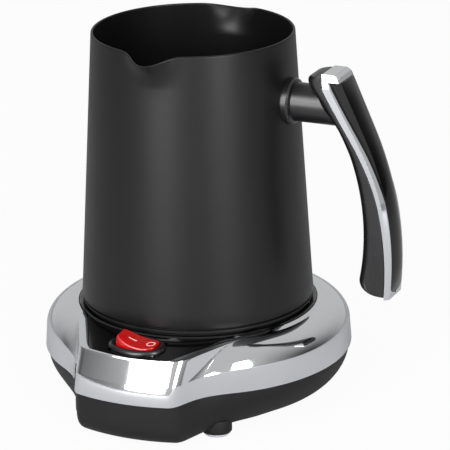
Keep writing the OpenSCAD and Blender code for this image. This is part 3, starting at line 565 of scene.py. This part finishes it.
class COFFEE_OT_shell(bpy.types.Operator):
    """Black lower shell: bowl, foot stubs, screw wells and cord inlet"""
    bl_idname = "coffee.shell"
    bl_label = "Lower shell"

    def radii(self, u):
        """Outline of the bowl at depth u under the chrome band."""
        s = bpy.context.scene.coffee_base
        foot, top = s.shell_foot_r / MM, s.band_r / MM - 0.8
        return tongued(BASE_TURN, foot + (top - foot) * math.sqrt(max(1 - u * u, 0)),
                       s.tongue_reach / MM - 1 - u - 3.8 * u ** 8, a=61,
                       b=23.7 - 0.6 * u - 2.4 * u ** 8, flare=24 - 7 * u * u, corner=3,
                       fillet=6 + 8 * u)

    def row(self, u, inset=0.0, floor=0.0):
        r, low = self.radii(u), SHELL_Z + floor
        return around_axis(BASE_TURN, r - inset,
                           low + (foot_level(along(r)) - low) * (1 - u))

    def execute(self, context):
        outer = [self.row(math.sin(math.radians(q))) for q in
                 (0, 4, 8, 13, 18, 24, 30, 36, 42, 48, 54, 60, 66, 72, 77, 82, 86, 90)]
        inner = [self.row(u, SHELL_WALL, SHELL_FLOOR) for u in (1, 0.92, 0.75, 0.45, 0)]
        # A lip of the shell stands up inside the chrome band
        lip = [foot_row(3.8, LIP_UP), foot_row(2.2, LIP_UP), foot_row(1.4)]
        bowl = skin("shell_bowl", [*inner, *lip, *outer])
        wells = []
        for degrees in POST_AZIMUTHS:
            a = math.radians(degrees)
            wells.append(rounded_post("well", POST_R * math.sin(a), -POST_R * math.cos(a),
                                      SHELL_Z - 1, SHELL_Z + 2.6, WELL_R))
        cut(bowl, joined(wells, "wells"))
        cut(bowl, self.inlet())
        parts = [bowl]
        for degrees, r in FEET:
            a = math.radians(degrees)
            stub = rounded_post("stub", r * math.sin(a), -r * math.cos(a), STUB_LOW,
                                SHELL_Z + 4.2, STUB_R, 64)
            parts.append(bevelled(stub, 0.35))
        piece = joined(parts, "lower_shell_moulding")
        smoothed(piece, 30)
        mounted(piece, "base", "black_abs", ["lower_shell"])
        return {"FINISHED"}

    def inlet(self):
        """Rod along +Y, which cuts the cord inlet through the rear wall."""
        near, far = 30, 62
        cleared()
        bpy.ops.mesh.primitive_cylinder_add(
            vertices=64, radius=INLET_R * MM, depth=(far - near) * MM,
            rotation=(math.pi / 2, 0, 0), location=placed([[0, (near + far) / 2, INLET_Z]])[0])
        bpy.ops.object.transform_apply(location=True, rotation=True, scale=True)
        bpy.context.object.name = "inlet"
        return bpy.context.object


# --- Switch ------------------------------------------------------------------


def oval(l, w, power, z, count=96):
    """Superellipse round the switch's centre."""
    a = np.radians(np.arange(count) * 360 / count)
    c, s = np.cos(a), np.sin(a)
    return np.stack([np.sign(c) * l / 2 * np.abs(c) ** (2 / power),
                     np.sign(s) * w / 2 * np.abs(s) ** (2 / power),
                     np.full(count, z)], axis=1)


ROCKER_R = 8.2
ROCKER_W = 9.8
ROCKER_POWER = 2.8
ROCKER_DEPTH = 4.0
EDGE_TURN = math.radians(25)
DISH_SAG = 1.6
PIVOT_Z = 0.4
BEZEL_H = 1.4

# Printed marks, in millimetres from the rocker's middle
PRINT_H = 0.05
BAR_LEFT, BAR_RIGHT, BAR_HALF = -3.9, -0.5, 0.22
RING_X, RING_OUT, RING_IN = 5.3, 1.75, 1.35


class COFFEE_OT_switch(bpy.types.Operator):
    """Oval bezel and housing of the rocker switch"""
    bl_idname = "coffee.switch"
    bl_label = "Switch housing"

    def execute(self, context):
        s = context.scene.coffee_switch
        l, w = s.bezel_l / MM, s.bezel_w / MM
        hole_l, hole_w = 2 * ROCKER_R + 0.8, ROCKER_W + 0.8
        loops = [
            oval(hole_l, hole_w, ROCKER_POWER, -14.8),
            oval(hole_l, hole_w, ROCKER_POWER, BEZEL_H - 0.5),
            oval(hole_l + 0.2, hole_w + 0.2, ROCKER_POWER, BEZEL_H - 0.15),
            oval(hole_l + 0.8, hole_w + 0.7, 2.7, BEZEL_H),
            oval((hole_l + l) / 2 + 0.3, (hole_w + w) / 2 + 0.3, 2.3, BEZEL_H - 0.02),
            oval(l - 1.8, w - 1.5, 2.15, BEZEL_H - 0.16),
            oval(l - 0.8, w - 0.7, 2.05, BEZEL_H - 0.42),
            oval(l - 0.2, w - 0.2, 2, BEZEL_H - 0.8),
            oval(l, w, 2, 0.3),
            oval(l, w, 2, 0.05),
            oval(19.2, 12.4, 3.2, 0.05),
            oval(19.2, 12.4, 8, -1.5),
            oval(19.2, 12.4, 8, -16.0),
        ]
        piece = skin("switch_bezel", loops, to_place=placed_on_deck)
        smoothed(piece, 40)
        mounted(piece, "base", "black_abs", ["switch_housing"], finish="phenolic")
        return {"FINISHED"}


def rocked(points):
    """Turns points about the rocker's pivot to its resting tilt."""
    tilt = bpy.context.scene.coffee_switch.tilt
    x, y, z = np.asarray(points, float).T
    return on_deck(np.stack([x * math.cos(tilt) + z * math.sin(tilt), y,
                             -x * math.sin(tilt) + z * math.cos(tilt) + PIVOT_Z], axis=1))


def dish_height(x):
    """Height of the rocker's dished top over its pivot."""
    edge_x, edge_z = ROCKER_R * math.cos(EDGE_TURN), ROCKER_R * math.sin(EDGE_TURN)
    r = (edge_x ** 2 + DISH_SAG ** 2) / (2 * DISH_SAG)
    return edge_z - DISH_SAG + r - np.sqrt(r * r - np.asarray(x, float) ** 2)


class COFFEE_OT_rocker(bpy.types.Operator):
    """Red rocker with its dished top and its two marks"""
    bl_idname = "coffee.rocker"
    bl_label = "Rocker"

    def execute(self, context):
        # Stations along the rocker, close together at its rounded ends
        half = ROCKER_R
        stations = half * np.sin(np.radians(np.linspace(-90, 90, 41)))
        stations = stations[np.abs(stations) < 0.995 * half]
        edge_x = half * math.cos(EDGE_TURN)
        loops = []
        for x in stations:
            taper = 1 - (abs(x) / (half + 0.1)) ** ROCKER_POWER
            width = ROCKER_W / 2 * taper ** (1 / ROCKER_POWER)
            end = math.sqrt(max(half * half - x * x, 0))
            top = dish_height(x) if abs(x) < edge_x else end
            low = -min(end, ROCKER_DEPTH)
            k = min(0.7, width * 0.6, (top - low) * 0.4)
            section = []
            for cy, cz, start in ((width - k, top - k, 0), (-width + k, top - k, 90),
                                  (-width + k, low + k, 180), (width - k, low + k, 270)):
                for a in range(0, 91, 15):
                    t = math.radians(start + a)
                    section.append([x, cy + k * math.cos(t), cz + k * math.sin(t)])
            loops.append(np.array(section))
        body = skin("rocker_body", loops, to_place=lambda p: placed(rocked(p)))
        smoothed(body, 50)
        mounted(body, "rocker", "red_acrylic", ["rocker"])

        # Marks: a thin line along the left end, a ring at the right
        rows = []
        for lift in (-PRINT_H, PRINT_H):
            side = np.linspace(BAR_LEFT, BAR_RIGHT, 9)
            line = [[x, -BAR_HALF, dish_height(x) + lift] for x in side]
            line += [[x, BAR_HALF, dish_height(x) + lift] for x in side[::-1]]
            rows.append(np.array(line))
        bar = skin("mark_on", rows, to_place=lambda p: placed(rocked(p)))
        rows = []
        for r, lift in ((RING_OUT, -PRINT_H), (RING_OUT, PRINT_H),
                        (RING_IN, PRINT_H), (RING_IN, -PRINT_H)):
            a = np.radians(np.arange(48) * 7.5)
            x = RING_X + r * np.cos(a)
            rows.append(np.stack([x, r * np.sin(a), dish_height(x) + lift], axis=1))
        ring = skin("mark_off", rows, closed=True, to_place=lambda p: placed(rocked(p)))
        for mark in (bar, ring):
            mounted(mark, "rocker", "red_acrylic", finish="mark")
        return {"FINISHED"}


# --- Pot ---------------------------------------------------------------------

POT_TURN = np.arange(0, 360, 1.0)
FLOOR_UP = 16
FLOOR_FILLET = 5.0


def pot_r(z):
    s = bpy.context.scene.coffee_pot
    return (s.bottom_r - (s.bottom_r - s.rim_r) * (z - POT_Z) / (RIM_Z - POT_Z)) / MM


def wall_row(z, depth):
    """Row of the pot's wall at a height, a depth under its outer face, with its lips."""
    s = bpy.context.scene.coffee_pot
    f = folded(POT_TURN)
    off = np.minimum(f, 180 - f)
    half = math.degrees(s.lip_half)
    g = np.where(off < half, np.cos(np.radians(90 * np.clip(off / half, 0, 1))) ** 4, 0)
    lip_h = s.lip_height / MM
    t = max((z - (RIM_Z - lip_h)) / lip_h, 0)
    return around_axis(POT_TURN, pot_r(z) - depth + s.lip_out / MM * g * t ** 1.6,
                       z - s.lip_dip / MM * g * t ** 1.3)


def turned_row(r, z):
    return around_axis(POT_TURN, r, z)


class COFFEE_OT_pot(bpy.types.Operator):
    """Coated steel pot with two pouring lips"""
    bl_idname = "coffee.pot"
    bl_label = "Pot"

    def execute(self, context):
        s = context.scene.coffee_pot
        wall, lip_h = s.wall / MM, s.lip_height / MM
        floor_z = POT_Z + FLOOR_UP
        steps = np.linspace(0, 1, 19)[:-1]
        loops = [turned_row(8, floor_z - wall), turned_row(30, floor_z - wall)]
        for a in range(0, 91, 15):
            t = math.radians(a)
            loops.append(turned_row(pot_r(floor_z) - wall - 2 + 2 * math.sin(t),
                                    floor_z - wall - 2 + 2 * math.cos(t)))
        loops.append(turned_row(pot_r(POT_Z) - wall, POT_Z + 0.4))
        for a in range(180, 361, 30):
            t = math.radians(a)
            loops.append(turned_row(pot_r(POT_Z) - wall / 2 + wall / 2 * math.cos(t),
                                    POT_Z + 0.5 + wall / 2 * math.sin(t)))
        loops += [wall_row(z, 0) for z in np.linspace(POT_Z + 6, RIM_Z - lip_h - 6, 8)]
        loops += [wall_row(RIM_Z - lip_h * (1 - t), 0) for t in steps]
        for a in range(0, 181, 22):
            t = math.radians(a)
            z = RIM_Z - wall / 2 + wall / 2 * math.sin(t)
            loops.append(wall_row(z, wall / 2 - wall / 2 * math.cos(t)))
        loops += [wall_row(RIM_Z - lip_h * (1 - t), wall) for t in steps[::-1]]
        loops += [wall_row(z, wall) for z in np.linspace(RIM_Z - lip_h - 6, floor_z + 12, 6)]
        fillet = FLOOR_FILLET
        for a in range(0, 91, 9):
            t = math.radians(a)
            loops.append(turned_row(pot_r(floor_z + fillet) - wall - fillet + fillet * math.cos(t),
                                    floor_z + fillet - fillet * math.sin(t)))
        loops += [turned_row(25, floor_z), turned_row(8, floor_z)]
        piece = skin("coffee_pot", loops)
        smoothed(piece, 45)
        mounted(piece, "pot", "coated_steel", ["pot_body"])
        return {"FINISHED"}


# --- Handle ------------------------------------------------------------------

# Depth of the handle at its middle, and the swing of its chrome strip, which
# leans inwards near the top and leaves more of the spine to be seen
GRIP_DEPTH = 12
STRIP_SWING = 4.6
SWING_START, SWING_LENGTH = 44, 52


def grip_out(z):
    """Outer edge of the handle: an arc, then its tangent."""
    r, mid, end = 118.8, POT_Z + 22, 49.5
    t = min(z - mid, end)
    x = bpy.context.scene.coffee_handle.reach / MM - r + math.sqrt(r * r - t * t)
    return x - max(z - mid - end, 0) * end / math.sqrt(r * r - end * end)


def grip_in(z):
    """Inner edge of the handle, which leans further in at the stem."""
    r, mid, end = 91.5, POT_Z + 33, 41.0
    t = min(z - mid, end)
    x = bpy.context.scene.coffee_handle.reach / MM - GRIP_DEPTH - r + math.sqrt(r * r - t * t)
    return x - max(z - mid - end, 0) * 0.75


def swing(z):
    """How far the chrome strip has swung inwards near the top (0 to 1)."""
    return float(smooth_step((z - POT_Z - SWING_START) / SWING_LENGTH))


def grip_split(z):
    """Joint between the core and the chrome strip."""
    depth = 2.1 + 1.9 * (z - GRIP_LOW) / (GRIP_TOP - GRIP_LOW)
    return grip_out(z) - depth - STRIP_SWING * swing(z)


def grip_half(z):
    width = bpy.context.scene.coffee_handle.width / MM
    return width / 2 - 0.8 * (1 - (z - GRIP_LOW) / (GRIP_TOP - GRIP_LOW))


def cap_in(z):
    return 55.6 + 0.16 * (GRIP_TOP - z)


def rounding(z, end, r):
    t = min(abs(z - end) / r, 1)
    return r * (1 - math.sqrt(1 - (1 - t) ** 2))


def core_section(z, x0, x1, half):
    """Section of the core: round on the palm side, flat outside."""
    k = min(4.0, (x1 - x0) * 0.8, half - 1)
    edge = 0.35
    points = [[x0 + k + k * math.cos(t), half - k + k * math.sin(t), z]
              for t in np.radians(np.arange(90, 181, 7.5))]
    points += [[x0 + k + k * math.cos(t), -half + k + k * math.sin(t), z]
               for t in np.radians(np.arange(180, 271, 7.5))]
    return np.array(points + [[x1 - edge, -half, z], [x1, -half + edge, z],
                              [x1, half - edge, z], [x1 - edge, half, z]])


class COFFEE_OT_handle_core(bpy.types.Operator):
    """Moulded core of the handle"""
    bl_idname = "coffee.handle_core"
    bl_label = "Handle core"

    def execute(self, context):
        low, top = GRIP_LOW + 0.6, POT_Z + 94
        heights = [low + 6 * t for t in (0, 0.02, 0.06, 0.12, 0.22, 0.35, 0.5, 0.7, 0.85, 1)]
        heights += list(np.linspace(POT_Z + 18, POT_Z + 85, 36))
        heights += [top - 7 * t for t in (1, 0.85, 0.7, 0.55, 0.42, 0.3, 0.2, 0.12, 0.06, 0.02, 0)]
        loops = []
        for z in heights:
            x0 = grip_in(z) + rounding(z, low, 6) * 1.2 + rounding(z, top, 6) * 0.8
            x1 = grip_split(z) if z < CAP_LOW else cap_in(z) - 0.1
            loops.append(core_section(z, x0, max(x1, x0 + 1.5), grip_half(z)))
        piece = skin("handle_core_moulding", loops)
        smoothed(piece, 40)
        mounted(piece, "pot", "phenolic", ["handle_core"])
        return {"FINISHED"}


SPINE_HALF = 5.4
SPINE_BROADER = 1.0
SPINE_TIP = 3.0
SPINE_LOW = GRIP_LOW + 1.4
SPINE_TOP = GRIP_TOP - 2.6
SPINE_DEPTH = 1.6
STRIP_BEVEL, BEVEL_LOSS = 1.2, 0.7


def spine_half(z):
    """Half width of the spine, which broadens near the top."""
    return SPINE_HALF + SPINE_BROADER * swing(z)


def spine_width(z):
    t = min(max(z - SPINE_LOW, 0) / SPINE_TIP, 1)
    return max(spine_half(z) * math.sqrt(1 - (1 - t) ** 2), 0.6)


def spine_tip(step):
    """Heights close together up the rounded lower end of the spine."""
    return [SPINE_LOW + step + SPINE_HALF * t
            for t in (0, 0.02, 0.06, 0.12, 0.2, 0.3, 0.45, 0.6, 0.8, 1)]


def trim_section(z, x0, x1, half, pocket_half, pocket, bevel):
    """Section of the trim: bevelled outer corners and a pocket for the spine."""
    return np.array([
        [x0, half, z], [x0, -half, z], [x1 - bevel, -half, z], [x1, -half + bevel, z],
        [x1, -pocket_half, z], [x1 - pocket, -pocket_half, z],
        [x1 - pocket, pocket_half, z], [x1, pocket_half, z],
        [x1, half - bevel, z], [x1 - bevel, half, z]])


class COFFEE_OT_handle_trim(bpy.types.Operator):
    """Chrome-plated trim of the handle, with its cap"""
    bl_idname = "coffee.handle_trim"
    bl_label = "Handle trim"

    def execute(self, context):
        step, shallow = 0.05, 0.03
        heights = [GRIP_LOW + t - 0.3 for t in (0, 0.15, 0.5, 1.2, 2.0)]
        heights += spine_tip(step)
        heights += list(np.linspace(POT_Z + 20, POT_Z + 87, 40))
        heights += [CAP_LOW - step, CAP_LOW, SPINE_TOP - step, SPINE_TOP,
                    GRIP_TOP - 1, GRIP_TOP - 0.15, GRIP_TOP]
        heights.sort()
        loops = []
        for z in heights:
            x0 = grip_split(z) + 0.1 if z < CAP_LOW else cap_in(z)
            cap = max((z - CAP_LOW) / (GRIP_TOP - CAP_LOW), 0)
            pocketed = SPINE_LOW < z < SPINE_TOP
            x1 = grip_out(z) - 1.1 * max(z - GRIP_TOP + 1, 0)
            x1 -= STRIP_SWING * swing(z) if pocketed else 0
            loops.append(trim_section(z, x0, x1, grip_half(z) - 1.3 * cap,
                                      spine_width(z) + 0.08,
                                      SPINE_DEPTH if pocketed else shallow,
                                      STRIP_BEVEL - BEVEL_LOSS * swing(z)))
        piece = skin("handle_trim_plated", loops)
        smoothed(piece, 22)
        mounted(piece, "pot", "chrome_plate", ["handle_trim"])
        return {"FINISHED"}


class COFFEE_OT_handle_spine(bpy.types.Operator):
    """Gloss inlay of the handle's back"""
    bl_idname = "coffee.handle_spine"
    bl_label = "Handle spine"

    def execute(self, context):
        crown = context.scene.coffee_handle.crown / MM
        step = 0.1
        heights = spine_tip(step)
        heights += list(np.linspace(POT_Z + 20, SPINE_TOP - 1, 44)) + [SPINE_TOP - step]
        loops = []
        for z in heights:
            x1 = grip_out(z)
            half = spine_width(z)
            swell = min((z - SPINE_LOW) / 8, (SPINE_TOP - z) / 8 + 0.4, 1)
            across = np.linspace(-1, 1, 25)
            top = [[x1 + 0.1 + (crown - 0.1) * swell * (1 - t * t), half * t, z] for t in across]
            seat = x1 - SPINE_DEPTH + 0.1 - STRIP_SWING * swing(z)
            loops.append(np.array([[seat, half, z], [seat, -half, z]] + top))
        piece = skin("handle_spine_inlay", loops)
        smoothed(piece, 40)
        mounted(piece, "pot", "gloss_abs", ["handle_spine"])
        return {"FINISHED"}


# --- Solids that keep their shape --------------------------------------------


class COFFEE_OT_fittings(bpy.types.Operator):
    """Paints the deck, cover, stem, contacts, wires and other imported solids"""
    bl_idname = "coffee.fittings"
    bl_label = "Packed fittings"

    def execute(self, context):
        slots = {row["node"]: row["material_slot"] for row in frame["record"]["subparts"]}
        for name in NODES:
            dress(name, finishes()[slots[name]])
        return {"FINISHED"}


# --- Stage -------------------------------------------------------------------

# Share of plain white in the floor as the camera sees it, and the light of the
# room before and behind the object, and on either side of it
FLOOR_GLOW = 0.95
ROOM_LEVEL, SIDE_LEVEL = 0.58, 0.05

class COFFEE_OT_stage(bpy.types.Operator):
    """Pale floor, soft boxes and the camera"""
    bl_idname = "coffee.stage"
    bl_label = "Stage"

    def execute(self, context):
        scene = context.scene
        cleared()
        bpy.ops.mesh.primitive_plane_add(size=6.0, location=(0, 0, 0))
        floor = context.object
        floor.name = "floor"
        floor.data.materials.append(self.floor_finish(scene.coffee_colours.floor))

        self.world(scene)
        self.lamps()
        self.camera(scene)
        scene.view_settings.view_transform = "Standard"
        return {"FINISHED"}

    def floor_finish(self, code):
        """Pale matt floor, which the camera sees as nearly white with a faint shadow."""
        material, tree = blank("pale floor")
        ray = add(tree, "ShaderNodeLightPath")
        matt = add(tree, "ShaderNodeBsdfDiffuse", {"Color": linear(code)})
        glow = add(tree, "ShaderNodeEmission", {"Color": (1, 1, 1, 1), "Strength": 1.0})
        seen = add(tree, "ShaderNodeMath", {1: FLOOR_GLOW}, {0: ray.outputs["Is Camera Ray"]},
                   operation="MULTIPLY")
        mix = add(tree, "ShaderNodeMixShader", {}, {0: seen.outputs[0], 1: matt.outputs[0],
                                                    2: glow.outputs[0]})
        add(tree, "ShaderNodeOutputMaterial", {}, {"Surface": mix.outputs[0]})
        return material

    def world(self, scene):
        world = bpy.data.worlds.new("studio")
        scene.world = world
        world.use_nodes = True
        tree = world.node_tree
        tree.nodes.clear()
        ray = add(tree, "ShaderNodeLightPath")
        # The room is dimmer on either side of the object
        side = (math.cos(CAMERA_AZ), math.sin(CAMERA_AZ), 0.0)
        way = add(tree, "ShaderNodeTexCoord").outputs["Generated"]
        across = add(tree, "ShaderNodeVectorMath", {1: side}, {0: way}, operation="DOT_PRODUCT")
        size = add(tree, "ShaderNodeMath", {}, {0: across.outputs["Value"]},
                   operation="ABSOLUTE")
        width = add(tree, "ShaderNodeMath", {1: 4.0}, {0: size.outputs[0]},
                    operation="POWER")
        level = add(tree, "ShaderNodeMapRange", {"To Min": ROOM_LEVEL, "To Max": SIDE_LEVEL},
                    {"Value": width.outputs[0]})
        room = add(tree, "ShaderNodeBackground", {"Color": (1, 1, 1, 1)},
                   {"Strength": level.outputs["Result"]})
        backdrop = add(tree, "ShaderNodeBackground", {"Color": (1, 1, 1, 1), "Strength": 1.0})
        mix = add(tree, "ShaderNodeMixShader", {}, {0: ray.outputs["Is Camera Ray"],
                                                    1: room.outputs[0], 2: backdrop.outputs[0]})
        add(tree, "ShaderNodeOutputWorld", {}, {"Surface": mix.outputs[0]})

    def lamps(self):
        """Two upright soft boxes beside the camera and a small one high on the left."""
        aim = Vector((-0.01, 0.005, 0.07))
        # Degrees from the camera's azimuth, degrees up, metres, and watts
        for name, off, rise, distance, width, height, power in (
                ("soft box left", -33, 18, 1.0, 0.44, 0.72, 9.0),
                ("soft box right", 29, 18, 1.0, 0.30, 0.72, 6.5),
                ("soft box high", -50, 37, 1.0, 0.36, 0.36, 1.4)):
            az, el = CAMERA_AZ + math.radians(off), math.radians(rise)
            spot = aim + distance * Vector((math.sin(az) * math.cos(el),
                                            -math.cos(az) * math.cos(el), math.sin(el)))
            cleared()
            bpy.ops.object.light_add(type="AREA", location=spot)
            lamp = bpy.context.object
            lamp.name = name
            lamp.data.shape = "RECTANGLE"
            lamp.data.size, lamp.data.size_y = width, height
            lamp.data.energy = power
            lamp.rotation_euler = (aim - spot).to_track_quat("-Z", "Y").to_euler()

    def camera(self, scene):
        place = placed([CAMERA_PLACE])[0]
        target = placed([CAMERA_TARGET])[0]
        cleared()
        bpy.ops.object.camera_add(location=place)
        camera = bpy.context.object
        camera.name = "photo camera"
        camera.data.sensor_width = SENSOR
        camera.data.lens = SENSOR * FOCAL_PIXELS / PICTURE_PIXELS
        camera.data.clip_start = 0.05
        look = (Vector(target) - Vector(place)).to_track_quat("-Z", "Y").to_matrix()
        roll = Matrix.Rotation(CAMERA_ROLL, 3, "Z")
        camera.rotation_euler = (look @ roll).to_euler()
        scene.camera = camera


class COFFEE_PT_panel(bpy.types.Panel):
    """Lists the coffee maker's pieces"""
    bl_idname = "COFFEE_PT_panel"
    bl_label = "Coffee maker"
    bl_space_type = "VIEW_3D"
    bl_region_type = "UI"
    bl_category = "Coffee maker"

    def draw(self, context):
        for group in ("coffee_pot", "coffee_base", "coffee_handle", "coffee_switch",
                      "coffee_colours"):
            box = self.layout.box()
            settings = getattr(context.scene, group)
            for name in settings.__annotations__:
                box.prop(settings, name)
        for operator in OPERATORS:
            self.layout.operator(operator.bl_idname)


GROUPS = {"coffee_pot": PotSizes, "coffee_base": BaseSizes, "coffee_handle": HandleSizes,
          "coffee_switch": SwitchSizes, "coffee_colours": Colours}
OPERATORS = (COFFEE_OT_fittings, COFFEE_OT_chrome_surround, COFFEE_OT_shell, COFFEE_OT_switch,
             COFFEE_OT_rocker, COFFEE_OT_pot, COFFEE_OT_handle_core, COFFEE_OT_handle_trim,
             COFFEE_OT_handle_spine, COFFEE_OT_stage)


def register():
    for kind in (*GROUPS.values(), *OPERATORS, COFFEE_PT_panel):
        bpy.utils.register_class(kind)
    for name, group in GROUPS.items():
        setattr(bpy.types.Scene, name, bpy.props.PointerProperty(type=group))


def unregister():
    for name in GROUPS:
        delattr(bpy.types.Scene, name)
    for kind in reversed((*GROUPS.values(), *OPERATORS, COFFEE_PT_panel)):
        bpy.utils.unregister_class(kind)


def main():
    register()
    for operator in OPERATORS:
        group, name = operator.bl_idname.split(".")
        getattr(getattr(bpy.ops, group), name)()


if __name__ == "__main__":
    main()
